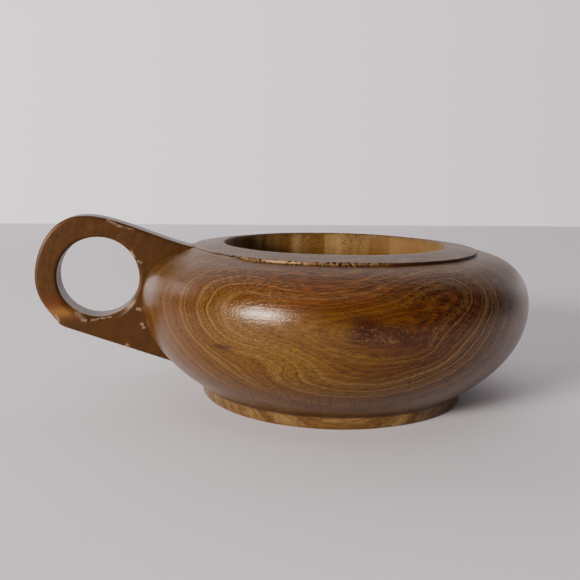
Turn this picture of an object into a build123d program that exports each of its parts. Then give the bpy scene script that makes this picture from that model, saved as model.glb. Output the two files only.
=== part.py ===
from build123d import *
import os
from math import cos, radians, sin, tan

os.makedirs("parts", exist_ok=True)

# A turned wooden drinking cup with a flat ring handle, in millimetres.
# The bowl is turned about the Z axis and stands on Z = 0.
# The handle is a board in the XZ plane that points along -X.

# The outside of the bowl
belly_radius = 57.5        # the widest ring of the body
belly_height = 29.4        # height of that ring above the table
rim_height = 45.2          # the mouth's edge above the table
mouth_radius = 33.1
rim_width = 9.1            # flat band from the mouth's edge out to the step
rim_fall = 1.0             # the band slopes down outwards by this much
step_drop = 0.8            # from the band's outer edge down to the shoulder
foot_radius = 39.7
foot_height = 3.5
foot_taper = 0.2           # the foot ring narrows towards the table
foot_flare = 35.0          # degrees above level at which the side leaves the foot
shoulder_slope = 3.0       # degrees below level at which the side meets the step
edge_break = 0.4           # chamfer on the mouth's edge and under the foot

# The hollow
belly_wall = 17.0          # wall at the widest ring
neck_depth = 4.5           # straight wall below the mouth's edge
hollow_height = 25.0       # height of the hollow's widest ring
floor_thickness = 7.5

# The handle board, its finger hole and the ring round it
board_thickness = 10.0
hole_radius = 11.5
hole_gap = 0.4             # from the belly's widest ring out to the finger hole
hole_drop = 9.7            # the hole's centre below the mouth's edge
ring_wall = {80: 6.3, 50: 7.0, 10: 6.0, -25: 5.7, -48: 5.8, -65: 5.4}   # by angle, hand shaped
tail_slope = 12.4          # degrees at which the top edge leaves the step
root_height = 7.0          # where the bottom edge runs in under the bowl's side
board_edge_break = 0.5     # chamfer along the board's outline and round the finger hole

# The joint: the board's coped end sits in a shallow housing, held by two dowels
housing_depth = 4.0
seat_gap = 0.05            # glue line all round the seated board
dowel_radius = 2.5
dowel_gap = 0.05           # radial clearance of a dowel in its bores
dowel_end_gap = 0.5
dowel_chamfer = 0.5
bore_cover = 2.5           # wood left beyond the end of a dowel's bore
lower_dowel_height = 18.0
upper_dowel_drop = 7.7     # the upper dowel's axis below the mouth's edge

# How full the curves are: each handle's length as a share of the rise or the run that it covers
foot_fullness = 0.40
lower_belly_fullness = 0.51
upper_belly_fullness = 0.49
shoulder_fullness = 0.72
neck_fullness = 0.35
upper_hollow_fullness = 0.45
lower_hollow_fullness = 0.80
floor_fullness = 0.55
tail_fullness = 0.33
crown_fullness = 0.27

shoulder_radius = mouth_radius + rim_width
shoulder_height = rim_height - rim_fall - step_drop
hollow_radius = belly_radius - belly_wall
hole_offset = belly_radius + hole_gap + hole_radius
hole_height = rim_height - hole_drop
dowel_heights = {"dowel_lower": lower_dowel_height, "dowel_upper": rim_height - upper_dowel_drop}


def at(radius, height):
    """A point in the half plane that the bowl is turned from."""
    return Vector(radius, 0, height)


def turned(edges):
    """The solid turned about the Z axis from a closed outline."""
    return revolve(make_face(edges), Axis.Z)


def side_curves(inset):
    """The bowl's side from the foot to the shoulder, moved into the wood by inset."""
    foot = at(foot_radius - inset, foot_height)
    belly = at(belly_radius - inset, belly_height)
    shoulder = at(shoulder_radius, shoulder_height - inset)
    swell = foot_fullness * (belly.X - foot.X)
    run = shoulder_fullness * (belly.X - shoulder.X)
    lower = Bezier(
        foot,
        foot + at(swell, swell * tan(radians(foot_flare))),
        belly - at(0, lower_belly_fullness * (belly.Z - foot.Z)),
        belly,
    )
    upper = Bezier(
        belly,
        belly + at(0, upper_belly_fullness * (shoulder.Z - belly.Z)),
        shoulder + at(run, -run * tan(radians(shoulder_slope))),
        shoulder,
    )
    return [lower, upper]


def hollow_curves():
    """The hollow's side from the neck's foot down and round to the middle of the floor."""
    neck = at(mouth_radius, rim_height - neck_depth)
    widest = at(hollow_radius, hollow_height)
    floor = at(0, floor_thickness)
    drop = neck.Z - widest.Z
    upper = Bezier(
        neck,
        neck - at(0, neck_fullness * drop),
        widest + at(0, upper_hollow_fullness * drop),
        widest,
    )
    lower = Bezier(
        widest,
        widest - at(0, lower_hollow_fullness * (widest.Z - floor.Z)),
        floor + at(floor_fullness * hollow_radius, 0),
        floor,
    )
    return [upper, lower]


def bowl():
    """The whole turned block: foot, body, step, rim band and hollow."""
    foot_bottom = foot_radius - foot_taper
    band_edge = at(shoulder_radius, rim_height - rim_fall)
    outline = [
        Polyline(at(0, 0), at(foot_bottom - edge_break, 0), at(foot_bottom, edge_break),
                 at(foot_radius, foot_height)),
        *side_curves(0),
        Polyline(at(shoulder_radius, shoulder_height), band_edge,
                 at(mouth_radius + edge_break, rim_height), at(mouth_radius, rim_height - edge_break),
                 at(mouth_radius, rim_height - neck_depth)),
        *hollow_curves(),
        Line(at(0, floor_thickness), at(0, 0)),
    ]
    return turned(outline)


def hollow():
    """The space inside the bowl, closed level with the mouth."""
    outline = [
        Polyline(at(0, floor_thickness), at(0, rim_height), at(mouth_radius, rim_height),
                 at(mouth_radius, rim_height - neck_depth)),
        *hollow_curves(),
    ]
    return turned(outline)


def seat_core(inset, gap):
    """Everything inside the seat of the handle board, with the rim band as a column above it."""
    column = shoulder_radius + gap
    outline = [
        Polyline(at(0, 0), at(foot_radius - inset, 0), at(foot_radius - inset, foot_height)),
        *side_curves(inset),
        Polyline(at(shoulder_radius, shoulder_height - inset), at(0, shoulder_height - inset), at(0, 0)),
    ]
    return turned(outline) + Cylinder(column, rim_height, align=(Align.CENTER, Align.CENTER, Align.MIN))


def radius_at(turned_solid, height):
    """The radius of a turned solid at a height."""
    return section(turned_solid, section_by=Plane.XY.offset(height)).bounding_box().max.X


def ring_point(angle):
    """A point on the outside of the handle's ring."""
    reach = hole_radius + ring_wall[angle]
    return at(hole_offset + reach * cos(radians(angle)), hole_height + reach * sin(radians(angle)))


def board_outline():
    """The handle board's outline, run on into the bowl as far as its axis."""
    tail = at(shoulder_radius, rim_height - rim_fall)
    ring = [ring_point(angle) for angle in ring_wall]
    root = at(foot_radius, root_height)
    length = ring[0].X - tail.X
    slope = at(cos(radians(tail_slope)), sin(radians(tail_slope)))
    top = Bezier(
        tail,
        tail + slope * (tail_fullness * length),
        ring[0] - at(crown_fullness * length, 0),
        ring[0],
    )
    round_end = Spline(*ring, tangents=[at(1, 0), root - ring[-1]])
    inside = Polyline(ring[-1], root, at(0, root.Z), at(0, tail.Z), tail)
    return [top, round_end, inside]


def board(margin):
    """The flat board before it is coped, bored and eased, pointing along -X, grown by a margin all round."""
    face = offset(make_face(board_outline()), margin, kind=Kind.INTERSECTION)
    blank = extrude(face, board_thickness / 2 + margin, dir=(0, 1, 0), both=True)
    return mirror(blank, about=Plane.YZ)


# the seat of the board, and the dowels that cross it
seat = seat_core(housing_depth, 0)
space = hollow()
seat_radius = {name: radius_at(seat, height) for name, height in dowel_heights.items()}
wall_left = [seat_radius[name] - radius_at(space, height) for name, height in dowel_heights.items()]
reach_in_bowl = min(wall_left) - bore_cover
reach_in_board = hole_offset - hole_radius - seat_radius["dowel_upper"] - bore_cover


def dowel_rod(name, radius, end_gap):
    """A rod along X across the seat, for a dowel or for the bores that hold it."""
    start = seat_radius[name] - reach_in_bowl - end_gap
    length = reach_in_bowl + reach_in_board + 2 * end_gap
    rod = Cylinder(radius, length, rotation=(0, 90, 0))
    return Pos(-(start + length / 2), 0, dowel_heights[name]) * rod


dowel_bores = [dowel_rod(name, dowel_radius + dowel_gap, dowel_end_gap) for name in dowel_heights]
housing = board(seat_gap) - seat

bowl_body = bowl() - housing - dowel_bores

finger_hole = Pos(-hole_offset, 0, hole_height) * Cylinder(hole_radius, 2 * board_thickness, rotation=(90, 0, 0))
pierced = board(0) - finger_hole
faces = pierced.faces().filter_by(Axis.Y)
eased = chamfer(faces.edges(), board_edge_break)
handle = eased - seat_core(housing_depth - seat_gap, seat_gap) - dowel_bores

pieces = {"bowl_body": bowl_body, "handle": handle}
for name in dowel_heights:
    rod = dowel_rod(name, dowel_radius, 0)
    pieces[name] = chamfer(rod.edges().filter_by(GeomType.CIRCLE), dowel_chamfer)

for node, piece in pieces.items():
    export_step(piece, f"parts/{node}.step")
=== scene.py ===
from math import cos, pi, radians, sin, tan

import bmesh
import bpy
from mathutils import Matrix, Vector, noise


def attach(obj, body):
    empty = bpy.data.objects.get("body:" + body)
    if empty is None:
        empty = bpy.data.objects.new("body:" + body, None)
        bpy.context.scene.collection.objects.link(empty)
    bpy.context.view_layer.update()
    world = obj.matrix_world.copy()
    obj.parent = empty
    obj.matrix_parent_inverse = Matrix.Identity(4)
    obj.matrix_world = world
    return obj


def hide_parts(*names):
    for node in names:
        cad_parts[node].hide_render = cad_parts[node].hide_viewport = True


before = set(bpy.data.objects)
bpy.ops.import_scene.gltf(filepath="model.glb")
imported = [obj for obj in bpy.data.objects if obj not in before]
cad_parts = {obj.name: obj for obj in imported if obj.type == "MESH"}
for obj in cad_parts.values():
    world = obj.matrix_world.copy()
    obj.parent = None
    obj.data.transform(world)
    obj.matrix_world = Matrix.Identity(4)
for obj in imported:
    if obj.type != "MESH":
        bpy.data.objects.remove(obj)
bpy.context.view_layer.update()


# ---------------------------------------------------------------- camera
# A phone held low and close, a little to the handle's side of the cup's front,
# looking down on the rim at about nine degrees.

MM = 0.001
camera_distance = 221 * MM
camera_height = 66.9 * MM
camera_azimuth = -102.34       # degrees from +X, seen from above
camera_heading = -8.95         # degrees from +Y
camera_pitch = 9.43            # degrees below level
camera_roll = 0.99
camera_lens = 45.2             # millimetres, on a frame 36 mm wide

camera = bpy.data.objects.new("camera", bpy.data.cameras.new("camera"))
bpy.context.collection.objects.link(camera)
camera.data.lens = camera_lens
camera.data.sensor_width = 36
camera.data.clip_start = 0.01
camera.location = (
    camera_distance * cos(radians(camera_azimuth)),
    camera_distance * sin(radians(camera_azimuth)),
    camera_height,
)
camera.rotation_euler = (
    Matrix.Rotation(radians(camera_heading), 3, "Z")
    @ Matrix.Rotation(radians(90 - camera_pitch), 3, "X")
    @ Matrix.Rotation(radians(camera_roll), 3, "Z")
).to_euler()
bpy.context.scene.camera = camera


# ---------------------------------------------------------------- table, wall and light
# A plain pale table that ends at a plain bright wall, a soft window low at the front left,
# and dim daylight all round.

def put(tree, kind, inputs=None, **settings):
    """Add a node to a tree, with its settings, and its inputs as plain values or as sockets to link."""
    made = tree.nodes.new(kind)
    for name, value in settings.items():
        setattr(made, name, value)
    for key, value in (inputs or {}).items():
        if isinstance(value, bpy.types.NodeSocket):
            tree.links.new(value, made.inputs[key])
        else:
            made.inputs[key].default_value = value
    return made


def maths(tree, operation, *values, clamp=False):
    """A chain's next number: a Math node on values or sockets."""
    inputs = dict(enumerate(values))
    return put(tree, "ShaderNodeMath", inputs, operation=operation, use_clamp=clamp).outputs[0]


def new_material(name):
    """An empty material with its output node, ready for a shader."""
    material = bpy.data.materials.new(name)
    material.use_nodes = True
    material.node_tree.nodes.clear()
    return material, material.node_tree


def finish_material(tree, base, roughness, normal=None, coat=None, **fixed):
    """The Principled shader that ends a material, with its constant values set on its own sockets."""
    shader = put(tree, "ShaderNodeBsdfPrincipled", {"Base Color": base, "Roughness": roughness})
    if coat is not None:
        tree.links.new(coat, shader.inputs["Coat Weight"])
    for key, value in fixed.items():
        shader.inputs[key.replace("_", " ")].default_value = value
    if normal is not None:
        tree.links.new(normal, shader.inputs["Normal"])
    put(tree, "ShaderNodeOutputMaterial", {"Surface": shader.outputs[0]})


matt = 0.9


def stage_sheet(name, corners, colour, glow=0.0):
    """A flat sheet of the surroundings, which may give off light of its own colour."""
    mesh = bpy.data.meshes.new(name)
    mesh.from_pydata(corners, [], [tuple(range(len(corners)))])
    sheet = bpy.data.objects.new(name, mesh)
    bpy.context.collection.objects.link(sheet)
    material, tree = new_material(name)
    finish_material(tree, (*colour, 1), matt, Emission_Color=(*colour, 1), Emission_Strength=glow)
    mesh.materials.append(material)


table_half = 1.6
wall_distance = 0.66
wall_height = 1.4
wall_glow = 0.46
stage_sheet(
    "table",
    [(-table_half, -table_half, 0), (table_half, -table_half, 0),
     (table_half, wall_distance, 0), (-table_half, wall_distance, 0)],
    colour=(0.84, 0.80, 0.84),
)
stage_sheet(
    "wall",
    [(-table_half, wall_distance, 0), (table_half, wall_distance, 0),
     (table_half, wall_distance, wall_height), (-table_half, wall_distance, wall_height)],
    colour=(0.86, 0.83, 0.85),
    glow=wall_glow,
)

daylight_colour = (0.97, 0.96, 1.0, 1)
daylight_strength = 0.12
world = bpy.data.worlds.new("daylight")
world.use_nodes = True
world.node_tree.nodes["Background"].inputs["Color"].default_value = daylight_colour
world.node_tree.nodes["Background"].inputs["Strength"].default_value = daylight_strength
bpy.context.scene.world = world
aim_height = 30 * MM


def window(name, azimuth, elevation, distance, width, height, power, colour):
    """An area light that faces the cup from a direction in degrees, its size and distance in metres."""
    light = bpy.data.lights.new(name, "AREA")
    light.shape = "RECTANGLE"
    light.size = width
    light.size_y = height
    light.energy = power
    light.color = colour
    lamp = bpy.data.objects.new(name, light)
    bpy.context.collection.objects.link(lamp)
    level = distance * cos(radians(elevation))
    lamp.location = (
        level * cos(radians(azimuth)),
        level * sin(radians(azimuth)),
        distance * sin(radians(elevation)) + aim_height,
    )
    aim = Vector((0, 0, aim_height)) - lamp.location
    lamp.rotation_euler = aim.to_track_quat("-Z", "Y").to_euler()


window("window", azimuth=-141, elevation=15, distance=1.1, width=0.31, height=0.19,
       power=20, colour=(1.0, 0.93, 0.87))
window("far_window", azimuth=150, elevation=22, distance=1.2, width=0.40, height=0.30,
       power=1.2, colour=(1.0, 0.92, 0.92))
window("ceiling", azimuth=-110, elevation=78, distance=1.3, width=1.0, height=1.0,
       power=2.0, colour=(0.97, 0.97, 1.0))


# ---------------------------------------------------------------- the wood's grain
# Three effects that all the wood of the cup shares: growth layers, long fibres with their
# open pores, and the fine orange peel of a thin brushed varnish.

def new_group(name, inputs, outputs):
    """An empty shader group with its sockets, and its input and output nodes."""
    group = bpy.data.node_groups.new(name, "ShaderNodeTree")
    for socket, kind in inputs.items():
        group.interface.new_socket(socket, in_out="INPUT", socket_type=kind)
    for socket, kind in outputs.items():
        group.interface.new_socket(socket, in_out="OUTPUT", socket_type=kind)
    return group, put(group, "NodeGroupInput"), put(group, "NodeGroupOutput")


def spread(tree, value, low, high):
    """Stretch the range from low to high over 0 to 1, with soft ends."""
    inputs = {"Value": value, "From Min": low, "From Max": high}
    return put(tree, "ShaderNodeMapRange", inputs, interpolation_type="SMOOTHSTEP").outputs["Result"]


def blend(tree, amount, first, second):
    """Mix two colours by an amount."""
    mix = put(tree, "ShaderNodeMix", {"Factor": amount}, data_type="RGBA")
    for socket, colour in ((mix.inputs[6], first), (mix.inputs[7], second)):
        if isinstance(colour, bpy.types.NodeSocket):
            tree.links.new(colour, socket)
        else:
            socket.default_value = (*colour, 1)
    return mix.outputs[2]


def layers_group():
    """Growth layers: bands, thin pale and dark lines, and hair lines, from a depth in millimetres."""
    group, given, result = new_group(
        "growth_layers",
        {"Depth": "NodeSocketFloat", "Band Width": "NodeSocketFloat", "Line Spacing": "NodeSocketFloat"},
        {"Bands": "NodeSocketFloat", "Pale Lines": "NodeSocketFloat", "Dark Lines": "NodeSocketFloat",
         "Hair Lines": "NodeSocketFloat"},
    )
    depth = given.outputs["Depth"]

    def layered(place, **settings):
        """Noise that changes with depth alone."""
        inputs = {"W": place, "Scale": 1, **settings}
        return put(group, "ShaderNodeTexNoise", inputs, noise_dimensions="1D").outputs[0]

    broad = maths(group, "DIVIDE", depth, given.outputs["Band Width"])
    bands = layered(broad, Detail=3, Roughness=0.6)
    group.links.new(spread(group, bands, 0.36, 0.64), result.inputs["Bands"])
    fine = maths(group, "DIVIDE", depth, given.outputs["Line Spacing"])
    for name, shift, thin in (("Pale Lines", 40, 0.05), ("Dark Lines", 90, 0.07)):
        lines = layered(maths(group, "ADD", fine, shift), Detail=1)
        ridge = maths(group, "ABSOLUTE", maths(group, "SUBTRACT", lines, 0.5))
        come_and_go = maths(group, "ADD", maths(group, "MULTIPLY", broad, 0.8), shift)
        strong = spread(group, layered(come_and_go), 0.30, 0.55)
        line = maths(group, "MULTIPLY", spread(group, ridge, thin, 0), strong)
        group.links.new(line, result.inputs[name])
    hairs = layered(maths(group, "MULTIPLY", fine, 2.1), Detail=3, Roughness=0.7)
    group.links.new(spread(group, hairs, 0.36, 0.64), result.inputs["Hair Lines"])
    return group


def fibres_group():
    """Fibres along X: soft and fine streaks, dark open pores, and the height that they give the surface."""
    group, given, result = new_group(
        "fibres",
        {"Position": "NodeSocketVector", "Pore Share": "NodeSocketFloat"},
        {"Streaks": "NodeSocketFloat", "Fine Streaks": "NodeSocketFloat", "Pores": "NodeSocketFloat",
         "Height": "NodeSocketFloat"},
    )
    streaks = []
    for stretch, detail in (((0.045, 0.9, 0.9), 4), ((0.30, 2.5, 2.5), 3), ((0.42, 3.6, 3.6), 1)):
        scaled = put(group, "ShaderNodeMapping", {"Vector": given.outputs["Position"], "Scale": stretch})
        inputs = {"Vector": scaled.outputs[0], "Scale": 1, "Detail": detail}
        streaks.append(put(group, "ShaderNodeTexNoise", inputs).outputs[0])
    soft, fine = (spread(group, streak, 0.34, 0.66) for streak in streaks[:2])
    edge = maths(group, "SUBTRACT", 0.72, given.outputs["Pore Share"])
    pores = spread(group, streaks[2], edge, maths(group, "ADD", edge, 0.08))
    height = maths(group, "SUBTRACT", maths(group, "MULTIPLY", fine, 0.5), pores)
    for name, socket in (("Streaks", soft), ("Fine Streaks", fine), ("Pores", pores), ("Height", height)):
        group.links.new(socket, result.inputs[name])
    return group


def varnish_group():
    """Thin brushed varnish: an orange peel that breaks up a highlight."""
    group, given, result = new_group(
        "varnish",
        {"Position": "NodeSocketVector", "Grain Size": "NodeSocketFloat"},
        {"Height": "NodeSocketFloat", "Dullness": "NodeSocketFloat"},
    )
    peel = maths(group, "DIVIDE", 1, given.outputs["Grain Size"])
    for name, scale, detail in (("Height", peel, 2), ("Dullness", 0.06, 3)):
        inputs = {"Vector": given.outputs["Position"], "Scale": scale, "Detail": detail}
        cloud = put(group, "ShaderNodeTexNoise", inputs)
        group.links.new(cloud.outputs[0], result.inputs[name])
    return group


growth_layers = layers_group()
fibres = fibres_group()
varnish = varnish_group()
varnish_look = {"IOR": 1.5, "Specular_Tint": (1.0, 0.78, 0.58, 1)}


def vector_maths(tree, operation, *values, result=0, **inputs):
    """A Vector Math node on vectors or sockets, and its result."""
    inputs |= dict(enumerate(values))
    return put(tree, "ShaderNodeVectorMath", inputs, operation=operation).outputs[result]


def use_group(tree, group, inputs):
    """Place a shared effect in a material with its own values."""
    return put(tree, "ShaderNodeGroup", inputs, node_tree=group).outputs


def wood_position(tree, turn, tilt=0.0):
    """A place in the wood in millimetres, plain and with X turned to lie along its fibres."""
    place = put(tree, "ShaderNodeTexCoord").outputs["Object"]
    scaled = vector_maths(tree, "SCALE", place, Scale=1 / MM)
    rotation = (0, radians(tilt), radians(turn))
    turned = put(tree, "ShaderNodeMapping", {"Vector": scaled, "Rotation": rotation})
    return scaled, turned.outputs[0]


def spot(tree, place, centre, size):
    """A soft spot round a place: 1 at its centre, 0 well outside its sizes along X, Y and Z."""
    moved = vector_maths(tree, "SUBTRACT", place, centre)
    shrunk = vector_maths(tree, "DIVIDE", moved, size)
    square = vector_maths(tree, "DOT_PRODUCT", shrunk, shrunk, result="Value")
    natural_base = 2.718
    return maths(tree, "POWER", natural_base, maths(tree, "MULTIPLY", square, -1))


def bumped(tree, height, depth, normal=None):
    """Turn a height into a normal, with its depth in millimetres."""
    inputs = {"Height": height, "Distance": depth * MM, "Strength": 1}
    if normal is not None:
        inputs["Normal"] = normal
    return put(tree, "ShaderNodeBump", inputs).outputs[0]


# ---------------------------------------------------------------- bowl body
# One block of hardwood, turned on a lathe to a low bulbous body on a foot ring, with a flat
# band round the mouth that stands proud of the shoulder by a small step, then varnished.

bowl_sizes = {
    "Belly Radius": 57.5 * MM,
    "Belly Height": 29.4 * MM,
    "Rim Height": 45.2 * MM,
    "Mouth Radius": 33.1 * MM,
    "Rim Width": 9.1 * MM,
    "Rim Fall": 1.0 * MM,
    "Step Drop": 0.8 * MM,
    "Foot Radius": 39.7 * MM,
    "Foot Height": 3.5 * MM,
    "Foot Taper": 0.2 * MM,
    "Neck Depth": 4.5 * MM,
    "Hollow Radius": 40.5 * MM,
    "Hollow Height": 25.0 * MM,
    "Floor Thickness": 7.5 * MM,
    "Edge Break": 0.4 * MM,
    "Tear Depth": 0.75 * MM,
    "Hand Wobble": 0.25 * MM,
}
flare_angle = 35               # degrees above level, where the side leaves the foot
shoulder_angle = 3             # degrees below level, where the shoulder leaves the step
weld_distance = 0.02 * MM
housing_play = 0.06 * MM


def turned_stretch():
    """One stretch of the bowl's outline, a Bezier curve in the XZ plane, turned once round the Z axis."""
    group = bpy.data.node_groups.new("turned_stretch", "GeometryNodeTree")
    for name in ("Start", "Start Handle", "End Handle", "End"):
        group.interface.new_socket(name, in_out="INPUT", socket_type="NodeSocketVector")
    for name in ("Rings", "Segments"):
        group.interface.new_socket(name, in_out="INPUT", socket_type="NodeSocketInt")
    for name in ("Crowd Start", "Crowd End"):
        group.interface.new_socket(name, in_out="INPUT", socket_type="NodeSocketFloat")
    group.interface.new_socket("Surface", in_out="OUTPUT", socket_type="NodeSocketGeometry")
    given = put(group, "NodeGroupInput").outputs
    ends = {name: given[name] for name in ("Start", "Start Handle", "End Handle", "End")}
    inputs = {"Resolution": 96, **ends}
    curve = put(group, "GeometryNodeCurvePrimitiveBezierSegment", inputs, mode="POSITION")
    across = maths(group, "ADD", given["Segments"], 1)
    along = maths(group, "ADD", given["Rings"], 1)
    inputs = {"Size X": 1, "Size Y": 1, "Vertices X": across, "Vertices Y": along}
    grid = put(group, "GeometryNodeMeshGrid", inputs)
    position = put(group, "GeometryNodeInputPosition").outputs[0]
    place = put(group, "ShaderNodeSeparateXYZ", {0: position}).outputs
    turn = maths(group, "MULTIPLY", maths(group, "ADD", place["X"], 0.5), 2 * pi)
    share = maths(group, "POWER", maths(group, "ADD", place["Y"], 0.5), given["Crowd Start"])
    rest = maths(group, "POWER", maths(group, "SUBTRACT", 1, share), given["Crowd End"])
    factor = maths(group, "SUBTRACT", 1, rest)
    inputs = {"Curves": curve.outputs[0], "Factor": factor}
    sample = put(group, "GeometryNodeSampleCurve", inputs, mode="FACTOR")
    point = put(group, "ShaderNodeSeparateXYZ", {0: sample.outputs["Position"]}).outputs
    spun = put(group, "ShaderNodeCombineXYZ", {
        "X": maths(group, "MULTIPLY", point["X"], maths(group, "COSINE", turn)),
        "Y": maths(group, "MULTIPLY", point["X"], maths(group, "SINE", turn)),
        "Z": point["Z"],
    })
    inputs = {"Geometry": grid.outputs[0], "Position": spun.outputs[0]}
    surface = put(group, "GeometryNodeSetPosition", inputs)
    put(group, "NodeGroupOutput", {"Surface": surface.outputs[0]})
    return group


def bowl_tree():
    """The bowl's outline from its sizes, turned stretch by stretch, with the worn and torn step."""
    tree = bpy.data.node_groups.new("turned_bowl", "GeometryNodeTree")
    for name in (*bowl_sizes, "Seed"):
        tree.interface.new_socket(name, in_out="INPUT", socket_type="NodeSocketFloat")
    tree.interface.new_socket("Segments", in_out="INPUT", socket_type="NodeSocketInt")
    tree.interface.new_socket("Wood", in_out="INPUT", socket_type="NodeSocketMaterial")
    tree.interface.new_socket("Bowl", in_out="OUTPUT", socket_type="NodeSocketGeometry")
    given = put(tree, "NodeGroupInput").outputs

    def add(*values):
        total = values[0]
        for value in values[1:]:
            total = maths(tree, "ADD", total, value)
        return total

    def less(first, second):
        return maths(tree, "SUBTRACT", first, second)

    def share(value, part):
        return maths(tree, "MULTIPLY", value, part)

    def at(radius, height):
        return put(tree, "ShaderNodeCombineXYZ", {"X": radius, "Y": 0.0, "Z": height}).outputs[0]

    foot, taper = given["Foot Radius"], given["Foot Taper"]
    edge, rim = given["Edge Break"], given["Rim Height"]
    belly, waist = given["Belly Radius"], given["Belly Height"]
    mouth, hollow = given["Mouth Radius"], given["Hollow Radius"]
    shoulder = add(mouth, given["Rim Width"])
    band_edge = less(rim, given["Rim Fall"])
    shoulder_top = less(band_edge, given["Step Drop"])
    sole = less(foot, taper)
    neck = less(rim, given["Neck Depth"])
    swell = share(less(belly, foot), 0.40)
    run = share(less(belly, shoulder), 0.72)
    drop = less(neck, given["Hollow Height"])
    floor = given["Floor Thickness"]

    # each curve's two end points and its two handles, whose reach makes it full or lean
    lower_side = (
        at(foot, given["Foot Height"]),
        at(add(foot, swell), add(given["Foot Height"], share(swell, tan(radians(flare_angle))))),
        at(belly, less(waist, share(less(waist, given["Foot Height"]), 0.51))),
        at(belly, waist),
    )
    upper_side = (
        at(belly, waist),
        at(belly, add(waist, share(less(shoulder_top, waist), 0.49))),
        at(add(shoulder, run), less(shoulder_top, share(run, tan(radians(shoulder_angle))))),
        at(shoulder, shoulder_top),
    )
    upper_hollow = (
        at(mouth, neck),
        at(mouth, less(neck, share(drop, 0.35))),
        at(hollow, add(given["Hollow Height"], share(drop, 0.45))),
        at(hollow, given["Hollow Height"]),
    )
    lower_hollow = (
        at(hollow, given["Hollow Height"]),
        at(hollow, less(given["Hollow Height"], share(less(given["Hollow Height"], floor), 0.80))),
        at(share(hollow, 0.55), floor),
        at(0.0, floor),
    )

    def straight(start, end):
        """A Bezier curve's four points on a straight line."""
        thirds = [
            put(tree, "ShaderNodeMix", {"Factor": part, 4: start, 5: end}, data_type="VECTOR").outputs[1]
            for part in (1 / 3, 2 / 3)
        ]
        return start, *thirds, end

    # each stretch of the outline: its curve, how many rings it has, how far they crowd towards
    # its start and its end, and whether it is inside the cup
    stretches = [
        (straight(at(0.0, 0.0), at(less(sole, edge), 0.0)), 6, 1, 1, 0),
        (straight(at(less(sole, edge), 0.0), at(sole, edge)), 2, 1, 1, 0),
        (straight(at(sole, edge), at(foot, given["Foot Height"])), 4, 1, 1, 0),
        (lower_side, 28, 1, 1, 0),
        (upper_side, 30, 1, 1.7, 0),
        (straight(at(shoulder, shoulder_top), at(shoulder, band_edge)), 6, 1, 1, 0),
        (straight(at(shoulder, band_edge), at(add(mouth, edge), rim)), 13, 1.7, 1, 0),
        (straight(at(add(mouth, edge), rim), at(mouth, less(rim, edge))), 2, 1, 1, 0),
        (straight(at(mouth, less(rim, edge)), at(mouth, neck)), 3, 1, 1, 1),
        (upper_hollow, 8, 1, 1, 1),
        (lower_hollow, 18, 1, 1, 1),
    ]
    turned = turned_stretch()
    joined = put(tree, "GeometryNodeJoinGeometry")
    for points, rings, crowd_start, crowd_end, inside in stretches:
        inputs = dict(zip(("Start", "Start Handle", "End Handle", "End"), points))
        inputs |= {"Rings": rings, "Segments": given["Segments"],
                   "Crowd Start": crowd_start, "Crowd End": crowd_end}
        stretch = put(tree, "GeometryNodeGroup", inputs, node_tree=turned)
        inputs = {"Geometry": stretch.outputs[0], "Name": "inside", "Value": inside}
        told = put(tree, "GeometryNodeStoreNamedAttribute", inputs, data_type="FLOAT", domain="POINT")
        tree.links.new(told.outputs[0], joined.inputs[0])
    inputs = {"Geometry": joined.outputs[0], "Distance": weld_distance}
    whole = put(tree, "GeometryNodeMergeByDistance", inputs)

    # where a point lies: its distance from the axis, its angle round it and its height
    position = put(tree, "GeometryNodeInputPosition").outputs[0]
    place = put(tree, "ShaderNodeSeparateXYZ", {0: position}).outputs
    flat = put(tree, "ShaderNodeCombineXYZ", {"X": place["X"], "Y": place["Y"]}).outputs[0]
    radius = vector_maths(tree, "LENGTH", flat, result="Value")
    angle = maths(tree, "MULTIPLY", maths(tree, "ARCTAN2", place["Y"], place["X"]), 180 / pi)

    def ramp(value, low, high):
        return spread(tree, value, low, high)

    def product(*values):
        total = values[0]
        for value in values[1:]:
            total = maths(tree, "MULTIPLY", total, value)
        return total

    # the shoulder rises to the band and hides the step towards the handle's front side
    outside = ramp(radius, share(shoulder, 1.12), share(shoulder, 1.0))
    below_band = ramp(place["Z"], add(shoulder_top, 0.7 * MM), add(shoulder_top, 0.1 * MM))
    high_up = ramp(place["Z"], share(shoulder_top, 0.90), share(shoulder_top, 0.95))
    handle_front = product(ramp(angle, -128, -146), ramp(angle, -180, -172))
    lift = product(outside, below_band, high_up, handle_front, given["Step Drop"], 0.98)
    on_outer_half = maths(tree, "GREATER_THAN", radius, less(shoulder, 0.05 * MM))
    lifted = put(tree, "GeometryNodeSetPosition", {
        "Geometry": whole.outputs[0],
        "Offset": put(tree, "ShaderNodeCombineXYZ", {"Z": product(lift, on_outer_half)}).outputs[0],
    })

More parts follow.
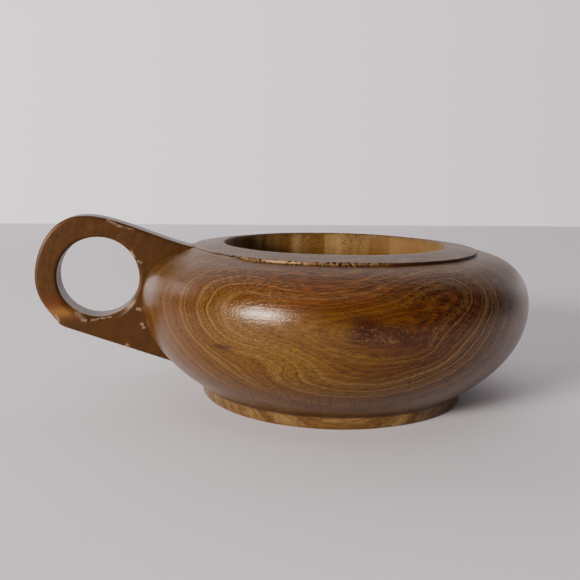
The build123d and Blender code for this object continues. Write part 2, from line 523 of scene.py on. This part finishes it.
    # the tool tore pits out of the step's front, where it cut against the grain, and left its
    # face bare between them; further round the step is clean, with painted shade in its corner under the
    # band's edge
    flakes_per_degree, flakes_per_metre, crumbs_per_metre = 0.85, 900.0, 1300
    stretched = put(tree, "ShaderNodeCombineXYZ", {
        "X": maths(tree, "MULTIPLY", angle, flakes_per_degree),
        "Y": maths(tree, "MULTIPLY", place["Z"], flakes_per_metre),
        "Z": given["Seed"],
    }).outputs[0]
    inputs = {"Vector": stretched, "Scale": 1, "Detail": 3, "Roughness": 0.6}
    flakes = put(tree, "ShaderNodeTexNoise", inputs)
    inputs = {"Vector": position, "Scale": crumbs_per_metre, "Detail": 2}
    crumbs = put(tree, "ShaderNodeTexNoise", inputs)
    near_step = ramp(maths(tree, "ABSOLUTE", less(radius, shoulder)), 0.8 * MM, 0.25 * MM)
    high = ramp(place["Z"], share(shoulder_top, 0.972), share(shoulder_top, 0.988))
    cross_grain = product(ramp(angle, -160, -146), ramp(angle, -78, -90))
    flake = maths(tree, "ADD", product(flakes.outputs[0], 0.75), product(crumbs.outputs[0], 0.25))
    pit = product(near_step, high, cross_grain, ramp(flake, 0.52, 0.56))
    outward = vector_maths(tree, "NORMALIZE", flat)
    pull = product(pit, given["Tear Depth"], -1)
    bite = vector_maths(tree, "SCALE", outward, Scale=pull)
    sink = put(tree, "ShaderNodeCombineXYZ", {"Z": product(pull, 0.5)}).outputs[0]
    tear = vector_maths(tree, "ADD", bite, sink)
    # painted reflection: the bare face between the pits is painted pale, palest where the window's reflection
    # falls on it
    face = product(ramp(maths(tree, "ABSOLUTE", less(radius, shoulder)), 0.12 * MM, 0.03 * MM),
                   ramp(place["Z"], add(shoulder_top, 0.12 * MM), add(shoulder_top, 0.38 * MM)),
                   ramp(place["Z"], add(band_edge, 0.02 * MM), less(band_edge, 0.05 * MM)))
    palest_sheen = product(ramp(angle, -130, -126), ramp(angle, -110, -115))
    palest_sheen = maths(tree, "MULTIPLY_ADD", palest_sheen, 0.7, 0.3)
    bare_with_sheen = product(face, ramp(angle, -140, -134), ramp(angle, -80, -88), palest_sheen, less(1.0, pit))
    # painted shade: the step's corner further round is darkened where the band's edge shades it
    off_corner = maths(tree, "ABSOLUTE", less(radius, add(shoulder, 0.05 * MM)))
    dirt_and_painted_shade = product(ramp(off_corner, 0.4 * MM, 0.1 * MM),
                   ramp(place["Z"], less(shoulder_top, 0.1 * MM), shoulder_top),
                   ramp(place["Z"], band_edge, less(band_edge, 0.1 * MM)),
                   ramp(angle, -88, -80), ramp(angle, 160, 120))
    marked = lifted
    for name, value in (("pit", pit), ("bare_with_sheen", bare_with_sheen), ("dirt_and_painted_shade", dirt_and_painted_shade)):
        inputs = {"Geometry": marked.outputs[0], "Name": name, "Value": value}
        marked = put(tree, "GeometryNodeStoreNamedAttribute", inputs, data_type="FLOAT", domain="POINT")
    chipped = put(tree, "GeometryNodeSetPosition", {"Geometry": marked.outputs[0], "Offset": tear})

    # no hand-held tool leaves a perfect circle
    drifts_per_metre = 45
    drift = put(tree, "ShaderNodeTexNoise", {"Vector": position, "Scale": drifts_per_metre, "Detail": 1})
    centred = vector_maths(tree, "SUBTRACT", drift.outputs["Color"], (0.5, 0.5, 0.5))
    above_table = product(given["Hand Wobble"], ramp(place["Z"], 0.0, given["Foot Height"]))
    wobble = vector_maths(tree, "SCALE", centred, Scale=above_table)
    worked = put(tree, "GeometryNodeSetPosition", {"Geometry": chipped.outputs[0], "Offset": wobble})
    smooth = put(tree, "GeometryNodeSetShadeSmooth", {"Geometry": worked.outputs[0]})
    real = put(tree, "GeometryNodeRealizeInstances", {"Geometry": smooth.outputs[0]})
    wooden = put(tree, "GeometryNodeSetMaterial", {"Geometry": real.outputs[0], "Material": given["Wood"]})
    put(tree, "NodeGroupOutput", {"Bowl": wooden.outputs[0]})
    return tree


def attribute(tree, name):
    """A mask that the piece's own mesh carries."""
    return put(tree, "ShaderNodeAttribute", attribute_name=name).outputs["Fac"]


def grained(tree, colour, *grains):
    """Lighten and darken a colour evenly by fine masks, each with its own strength."""
    shade = 1.0
    for mask, strength in grains:
        shade = maths(tree, "MULTIPLY_ADD", maths(tree, "SUBTRACT", mask, 0.5), strength, shade)
    return vector_maths(tree, "SCALE", colour, Scale=shade)


def bowl_wood():
    """Golden to red-brown wood: ovals of growth layers, with swells and dips in them and a small knot."""
    material, tree = new_material("turned_wood")
    fibre_turn = 8
    place, along = wood_position(tree, fibre_turn)

    # the growth layers lie square to this direction, and swell or dip by millimetres in places
    across_layers = (-0.131, -0.931, 0.342)
    depth = vector_maths(tree, "DOT_PRODUCT", place, across_layers, result="Value")
    for centre, size, rise in (
        ((-12, -50, 43), (18, 30, 9.5), -12.0),
        ((22, -50, 42), (11, 30, 9), 5.0),
        ((-25, -51, 22.5), (14, 30, 6), -5.0),
        ((-7, -57, 30.0), (5.0, 30, 2.2), 2.4),
        ((3, -57, 27.5), (6, 30, 2.6), 1.2),
        ((10, -56, 25.0), (6, 30, 3), 1.2),
    ):
        bend = maths(tree, "MULTIPLY", spot(tree, place, centre, size), rise)
        depth = maths(tree, "ADD", depth, bend)
    for size, sway in (((0.020, 0.05, 0.05), 3.0), ((0.12, 0.25, 0.25), 0.9)):
        stretched = put(tree, "ShaderNodeMapping", {"Vector": along, "Scale": size}).outputs[0]
        waves = put(tree, "ShaderNodeTexNoise", {"Vector": stretched, "Scale": 1, "Detail": 2}).outputs[0]
        depth = maths(tree, "ADD", depth, maths(tree, "MULTIPLY", maths(tree, "SUBTRACT", waves, 0.5), sway))
    layers = use_group(tree, growth_layers, {"Depth": depth, "Band Width": 2.4, "Line Spacing": 1.0})
    fibre = use_group(tree, fibres, {"Position": along, "Pore Share": 0.10})
    skin = use_group(tree, varnish, {"Position": place, "Grain Size": 0.34})

    # colours: brown, gold towards the handle, red opposite, and darkest round the knot
    brown, golden, rust = (0.072, 0.027, 0.001), (0.115, 0.056, 0.008), (0.086, 0.017, 0.001)
    red_brown, dark_red = (0.042, 0.003, 0.001), (0.022, 0.001, 0.001)
    # the darkest colour is the dirt of pores and tool marks, and is also painted as shade in the step's pits
    # and corner, in the foot's crease and on the lower side
    pale, bare_wood_with_sheen, dirt_and_painted_shade = (0.22, 0.140, 0.050), (0.42, 0.25, 0.12), (0.028, 0.009, 0.003)
    inner_pale, inner_dark, inner_far_shade = (0.29, 0.178, 0.070), (0.13, 0.059, 0.011), (0.13, 0.062, 0.012)
    foot_pale, foot_brown = (0.235, 0.143, 0.052), (0.115, 0.058, 0.016)
    colour = brown
    for centre, size, tint, amount in (
        ((-24, -50, 23), (22, 30, 12), golden, 0.95),
        ((-14, -51, 38.5), (22, 30, 4.5), rust, 0.8),
        ((10, -55, 33), (12, 30, 8), red_brown, 0.25),
        ((21, -52, 33), (10, 30, 9), red_brown, 1.0),
        ((33, -46, 30), (9, 30, 14), dark_red, 0.65),
        ((20, -53, 19), (18, 30, 6), red_brown, 0.30),
        ((8, -56, 26), (6.5, 30, 3.0), red_brown, 0.85),
        ((2, -57, 29), (9, 30, 3), red_brown, 0.4),
        ((-3.5, -57, 30.4), (4.5, 20, 2.8), dark_red, 0.85),
    ):
        share = maths(tree, "MULTIPLY", spot(tree, place, centre, size), amount)
        colour = blend(tree, share, colour, tint)
    # the figure is quiet in the gold and sharp round it
    quiet = spot(tree, place, (-19, -50, 29), (22, 30, 16))
    figure = maths(tree, "MULTIPLY_ADD", quiet, -1.0, 1.75)
    axes = put(tree, "ShaderNodeSeparateXYZ", {0: place}).outputs
    figure = maths(tree, "MULTIPLY_ADD", spread(tree, axes["X"], 2, 18), 0.8, figure)
    for mask, tint, amount in (
        (layers["Bands"], red_brown, 0.20), (layers["Dark Lines"], red_brown, 0.20),
        (layers["Pale Lines"], pale, 0.24), (fibre["Streaks"], golden, 0.18),
    ):
        share = maths(tree, "MULTIPLY", maths(tree, "MULTIPLY", mask, amount), figure, clamp=True)
        colour = blend(tree, share, colour, tint)
    top = spread(tree, axes["Z"], 36, 42)
    grit = put(tree, "ShaderNodeTexNoise", {"Vector": place, "Scale": 2.8, "Detail": 2}).outputs[0]
    hair = maths(tree, "MULTIPLY_ADD", maths(tree, "SUBTRACT", layers["Hair Lines"], 0.5), figure, 0.5)
    grit = maths(tree, "MULTIPLY_ADD", maths(tree, "SUBTRACT", grit, 0.5), figure, 0.5)
    dashes = maths(tree, "MULTIPLY", maths(tree, "SUBTRACT", fibre["Fine Streaks"], 0.5), top)
    dashes = maths(tree, "ADD", dashes, 0.5)
    colour = grained(tree, colour, (hair, 0.34), (fibre["Fine Streaks"], 0.40), (dashes, 0.9), (grit, 1.1))

    # the lathe tool's fine rings, the same all the way round
    flat = put(tree, "ShaderNodeCombineXYZ", {"X": axes["X"], "Y": axes["Y"]}).outputs[0]
    radius = vector_maths(tree, "LENGTH", flat, result="Value")
    ring = put(tree, "ShaderNodeCombineXYZ", {"X": radius, "Y": axes["Z"]}).outputs[0]
    inputs = {"Vector": ring, "Scale": 2.2, "Detail": 2}
    turning = put(tree, "ShaderNodeTexNoise", inputs, noise_dimensions="2D").outputs[0]

    # short upright marks where the side turns under, and painted shade that darkens the lower side
    turn = maths(tree, "MULTIPLY", maths(tree, "ARCTAN2", axes["Y"], axes["X"]), 50)
    height = maths(tree, "MULTIPLY", axes["Z"], 0.12)
    ribs = put(tree, "ShaderNodeCombineXYZ", {"X": turn, "Y": height}).outputs[0]
    hatch = put(tree, "ShaderNodeTexNoise", {"Vector": ribs, "Scale": 1.3, "Detail": 2}).outputs[0]
    low = maths(tree, "MULTIPLY", spread(tree, axes["Z"], 15, 10), spread(tree, axes["Z"], 5, 7))
    hatch = maths(tree, "MULTIPLY", spread(tree, hatch, 0.5, 0.62), low)
    colour = blend(tree, maths(tree, "MULTIPLY", hatch, 0.6), colour, dirt_and_painted_shade)
    # painted shade: the lower side darkens towards the foot
    colour = blend(tree, maths(tree, "MULTIPLY", spread(tree, axes["Z"], 19, 6), 0.30), colour, dirt_and_painted_shade)

    # the small knot's speckled heart, and a short dark streak near the handle
    speckle = put(tree, "ShaderNodeTexNoise", {"Vector": place, "Scale": 1.4, "Detail": 2}).outputs[0]
    for centre, size, tint, amount in (
        ((-5.0, -57, 30.4), (4.2, 20, 2.9), dark_red, 1.0),
        ((3.0, -57, 28.6), (6.5, 20, 2.6), dark_red, 0.75),
        ((-10.0, -57, 30.6), (3.0, 20, 2.4), golden, 0.5),
    ):
        heart = maths(tree, "MULTIPLY", spot(tree, place, centre, size), spread(tree, speckle, 0.36, 0.52))
        colour = blend(tree, maths(tree, "MULTIPLY", heart, amount), colour, tint)
    streak = spot(tree, place, (-36.5, -43.6, 24), (3.0, 3.0, 0.8))
    colour = blend(tree, maths(tree, "MULTIPLY", streak, 0.7), colour, dark_red)

    # the hollow shows the layers as upright stripes, with painted shade on its far side from the handle
    inside = attribute(tree, "inside")
    across = put(tree, "ShaderNodeMapping", {"Vector": place, "Scale": (0.16, 0.02, 0.012)}).outputs[0]
    stripes = put(tree, "ShaderNodeTexNoise", {"Vector": across, "Scale": 1, "Detail": 3}).outputs[0]
    inner = blend(tree, spread(tree, stripes, 0.38, 0.62), inner_pale, inner_dark)
    # painted shade: the hollow's far side from the handle is darkened
    far_side_shade = maths(tree, "MULTIPLY", spread(tree, axes["X"], 10, 24), 0.55)
    inner = blend(tree, far_side_shade, inner, inner_far_shade)
    colour = blend(tree, maths(tree, "MULTIPLY", inside, 0.9), colour, inner)

    # the foot's edge is pale and streaked, darker at both ends, with painted shade in the crease above it
    foot_band = spread(tree, axes["Z"], 3.9, 3.4)
    foot_band = maths(tree, "MULTIPLY", foot_band, spread(tree, axes["Z"], -1, 0.2))
    footing = blend(tree, layers["Bands"], foot_pale, foot_brown)
    footing = grained(tree, footing, (fibre["Fine Streaks"], 0.5), (fibre["Streaks"], 0.2))
    for start, end in ((-2, -26), (8, 26)):
        shade = maths(tree, "MULTIPLY", spread(tree, axes["X"], start, end), 0.35)
        footing = blend(tree, shade, footing, dirt_and_painted_shade)
    colour = blend(tree, maths(tree, "MULTIPLY", foot_band, 0.85), colour, footing)
    # painted shade in the crease where the body overhangs the foot
    crease_shade = maths(tree, "MULTIPLY", spread(tree, axes["Z"], 5.4, 3.6), spread(tree, axes["Z"], 3.1, 3.4))
    colour = blend(tree, maths(tree, "MULTIPLY", crease_shade, 0.7), colour, dirt_and_painted_shade)

    # open pores; the step's bare wood with a painted reflection on it, its pits darkened with painted shade,
    # and painted shade in its corner further round
    colour = blend(tree, maths(tree, "MULTIPLY", fibre["Pores"], 0.6), colour, dirt_and_painted_shade)
    for name, tint, amount in (("bare_with_sheen", bare_wood_with_sheen, 0.9), ("pit", dirt_and_painted_shade, 0.85), ("dirt_and_painted_shade", dirt_and_painted_shade, 0.75)):
        colour = blend(tree, maths(tree, "MULTIPLY", attribute(tree, name), amount), colour, tint)

    # the varnish is duller inside, on the shoulder and in the pits, and thickest round the middle
    dullness = maths(tree, "ADD", 0.17, maths(tree, "MULTIPLY", skin["Dullness"], 0.14))
    dullness = maths(tree, "ADD", dullness, maths(tree, "MULTIPLY", attribute(tree, "pit"), 0.5))
    dullness = maths(tree, "ADD", dullness, maths(tree, "MULTIPLY", top, 0.14))
    dullness = maths(tree, "ADD", dullness, maths(tree, "MULTIPLY", inside, 0.22), clamp=True)
    thick = maths(tree, "MULTIPLY", spread(tree, axes["Z"], 19, 28), spread(tree, axes["Z"], 41, 36))
    thick = maths(tree, "MULTIPLY", thick, maths(tree, "MULTIPLY", spread(tree, inside, 0.5, 0), 0.20))

    # the grain stands up more on the shoulder and the band, where it meets the surface end on
    raised = maths(tree, "MULTIPLY_ADD", top, 3.0, 1)
    hollows = maths(tree, "MULTIPLY", layers["Hair Lines"], 0.4)
    grain = maths(tree, "MULTIPLY", maths(tree, "SUBTRACT", fibre["Height"], hollows), raised)
    normal = bumped(tree, turning, 0.020)
    normal = bumped(tree, grain, 0.026, normal)
    normal = bumped(tree, skin["Height"], 0.040, normal)
    finish_material(tree, colour, dullness, normal, thick, **varnish_look, Specular_IOR_Level=0.34,
                    Coat_Roughness=0.25, Coat_Tint=(1.0, 0.94, 0.86, 1))
    return material


def baked(tree, name, inputs):
    """The plain mesh object that a Geometry Nodes tree makes from its named inputs."""
    holder = bpy.data.objects.new(name, bpy.data.meshes.new(name))
    bpy.context.collection.objects.link(holder)
    modifier = holder.modifiers.new("making", "NODES")
    modifier.node_group = tree
    for socket in tree.interface.items_tree:
        if socket.in_out == "INPUT" and socket.name in inputs:
            modifier[socket.identifier] = inputs[socket.name]
    graph = bpy.context.evaluated_depsgraph_get()
    mesh = bpy.data.meshes.new_from_object(holder.evaluated_get(graph))
    holder.modifiers.remove(modifier)
    holder.data = mesh
    mesh.name = name
    return holder


bowl = baked(bowl_tree(), "bowl", {**bowl_sizes, "Segments": 740, "Seed": 3.0, "Wood": bowl_wood()})


cad_weld_distance = 0.5e-6


def merged_copy(name, nodes):
    """A closed mesh object copied from CAD nodes."""
    joined = bmesh.new()
    for node in nodes:
        joined.from_mesh(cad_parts[node].data)
    bmesh.ops.remove_doubles(joined, verts=joined.verts, dist=cad_weld_distance)
    mesh = bpy.data.meshes.new(name)
    joined.to_mesh(mesh)
    joined.free()
    copy = bpy.data.objects.new(name, mesh)
    bpy.context.collection.objects.link(copy)
    return copy


def settle(piece):
    """Bake a piece's modifiers into its mesh."""
    graph = bpy.context.evaluated_depsgraph_get()
    mesh = bpy.data.meshes.new_from_object(piece.evaluated_get(graph))
    piece.modifiers.clear()
    piece.data = mesh


def cut_housing(margin):
    """Cut the housing and the dowels' bores, by the joint's own pieces grown by a hair."""
    for nodes in (["handle"], ["dowel_lower", "dowel_upper"]):
        cutter = merged_copy("housing_cutter", nodes)
        normals = [vertex.normal.copy() for vertex in cutter.data.vertices]
        for vertex, normal in zip(cutter.data.vertices, normals):
            vertex.co += normal * margin
        cut = bowl.modifiers.new("housing", "BOOLEAN")
        cut.operation = "DIFFERENCE"
        cut.solver = "EXACT"
        cut.object = cutter
        settle(bowl)
        bpy.data.objects.remove(cutter)


def keep_largest(piece):
    """Drop the crumbs that a cut leaves loose."""
    shell = bmesh.new()
    shell.from_mesh(piece.data)
    islands = []
    waiting = set(shell.faces)
    while waiting:
        island = [waiting.pop()]
        for face in island:
            near = {other for edge in face.edges for other in edge.link_faces} & waiting
            waiting -= near
            island.extend(near)
        islands.append(island)
    largest = max(islands, key=len)
    crumbs = [face for island in islands if island is not largest for face in island]
    bmesh.ops.delete(shell, geom=crumbs, context="FACES")
    shell.to_mesh(piece.data)
    shell.free()


cut_housing(housing_play)
keep_largest(bowl)
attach(bowl, "root")
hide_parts("bowl_body")


# ---------------------------------------------------------------- handle
# A flat hardwood board, sawn to shape with a round finger hole, its end scribed to the bowl
# and glued and dowelled into it. Years of hanging and handling have eased its edges.

def handle_wood():
    """Brown wood darker than the bowl's, with reddish patches and grain along the board."""
    material, tree = new_material("board_wood")
    fibre_tilt = 70
    place, along = wood_position(tree, 0, fibre_tilt)
    axes = put(tree, "ShaderNodeSeparateXYZ", {0: along}).outputs
    waves = put(tree, "ShaderNodeTexNoise", {"Vector": along, "Scale": 0.05, "Detail": 2})
    wavy = maths(tree, "MULTIPLY", maths(tree, "SUBTRACT", waves.outputs[0], 0.5), 8)
    depth = maths(tree, "ADD", axes["Z"], wavy)
    layers = use_group(tree, growth_layers, {"Depth": depth, "Band Width": 5.0, "Line Spacing": 1.6})
    fibre = use_group(tree, fibres, {"Position": along, "Pore Share": 0.07})
    skin = use_group(tree, varnish, {"Position": place, "Grain Size": 0.5})
    brown, deep, red = (0.056, 0.021, 0.004), (0.030, 0.009, 0.002), (0.10, 0.024, 0.005)
    orange, dust = (0.24, 0.11, 0.03), (0.42, 0.31, 0.22)
    inputs = {"Vector": place, "Scale": 0.55, "Detail": 5, "Roughness": 0.7}
    mottle = put(tree, "ShaderNodeTexNoise", inputs)
    colour = blend(tree, maths(tree, "MULTIPLY", layers["Bands"], 0.22), brown, deep)
    colour = blend(tree, maths(tree, "MULTIPLY", fibre["Streaks"], 0.12), colour, deep)
    colour = grained(tree, colour, (mottle.outputs[0], 1.1), (fibre["Fine Streaks"], 0.14))
    for centre, size, tint in (
        ((-82, -5, 28), (4, 4, 2.2), red),
        ((-80, -5, 25.5), (5, 4, 1.6), orange),
    ):
        colour = blend(tree, maths(tree, "MULTIPLY", spot(tree, place, centre, size), 0.7), colour, tint)
    colour = blend(tree, maths(tree, "MULTIPLY", fibre["Pores"], 0.45), colour, deep)
    colour = blend(tree, maths(tree, "MULTIPLY", attribute(tree, "worn"), 0.5), colour, dust)
    dullness = maths(tree, "ADD", 0.32, maths(tree, "MULTIPLY", skin["Dullness"], 0.14))
    normal = bumped(tree, fibre["Height"], 0.02)
    normal = bumped(tree, skin["Height"], 0.04, normal)
    finish_material(tree, colour, dullness, normal, **varnish_look, Specular_IOR_Level=0.30)
    return material


def shaved_and_nicked(mesh):
    """Pare the hole's lower front edge to a facet, and mark nicks and a scratch on the front face as worn."""
    hole_x, hole_z, hole_radius = -69.4 * MM, 35.5 * MM, 11.5 * MM
    front, near_front = -5.0 * MM, -4.2 * MM
    facet_width, facet_depth = 1.3 * MM, 1.1 * MM
    facet_start, facet_reach = 0.45, 0.55
    speckles_per_metre = 2300

    # each mark's start, its end and half its width, in millimetres on the front face
    marks = (
        (-60.0, 42.9, -59.2, 41.3, 0.22), (-58.0, 40.1, -57.3, 39.8, 0.22), (-58.5, 26.3, -57.8, 26.1, 0.26),
        (-57.4, 22.0, -56.8, 20.7, 0.24), (-75.6, 25.2, -73.5, 23.3, 0.36), (-81.2, 24.6, -80.7, 22.9, 0.26),
        (-61.8, 15.7, -61.4, 15.5, 0.25), (-66.5, 52.0, -63.3, 50.2, 0.16), (-63.3, 50.2, -59.4, 49.2, 0.14),
        (-71.5, 23.1, -66.0, 24.0, 0.12),
    )
    worn = mesh.attributes.new("worn", "FLOAT", "POINT")
    for vertex in mesh.vertices:
        x, y, z = vertex.co
        if y > 0:
            continue
        out = Vector((x - hole_x, z - hole_z))
        below = max(0.0, -out.normalized().y - facet_start) / facet_reach
        pared = facet_depth * below ** 0.5 * (1 - (out.length - hole_radius) / facet_width)
        if pared > 0:
            vertex.co.y = max(y, front + pared)
        point = Vector((x, z)) / MM
        wear = 0.0
        for start_x, start_z, end_x, end_z, width in marks:
            start, reach = Vector((start_x, start_z)), Vector((end_x - start_x, end_z - start_z))
            along = min(1.0, max(0.0, (point - start).dot(reach) / reach.length_squared))
            gap = (point - start - reach * along).length
            wear = max(wear, 1 - gap / (2 * width))
        if y < near_front and wear > 0:
            rough = noise.noise(vertex.co * speckles_per_metre)
            worn.data[vertex.index].value = max(0.0, min(1.0, 1.1 * wear + 1.8 * rough - 0.1))


handle = merged_copy("ring_handle", ["handle"])
remesh = handle.modifiers.new("even_skin", "REMESH")
remesh.mode = "VOXEL"
remesh.voxel_size = 0.32 * MM
smooth = handle.modifiers.new("eased_edges", "SMOOTH")
smooth.factor = 0.5
smooth.iterations = 3
settle(handle)
shaved_and_nicked(handle.data)
handle.data.materials.clear()
handle.data.materials.append(handle_wood())
handle.data.shade_smooth()
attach(handle, "root")
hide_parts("handle")


# ---------------------------------------------------------------- dowels
# Two plain hardwood pins, hidden across the joint between the board and the bowl.

def dowel_wood():
    """Pale bare wood with its grain along the pin."""
    material, tree = new_material("pin_wood")
    along = wood_position(tree, 0)[1]
    fibre = use_group(tree, fibres, {"Position": along, "Pore Share": 0.05})
    straw, cream, brown = (0.50, 0.34, 0.17), (0.62, 0.45, 0.26), (0.25, 0.14, 0.06)
    colour = blend(tree, fibre["Streaks"], straw, cream)
    colour = blend(tree, maths(tree, "MULTIPLY", fibre["Pores"], 0.5), colour, brown)
    finish_material(tree, colour, 0.7, bumped(tree, fibre["Height"], 0.04))
    return material


pin_wood = dowel_wood()
for name in ("dowel_lower", "dowel_upper"):
    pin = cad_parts[name]
    pin.data.materials.clear()
    pin.data.materials.append(pin_wood)
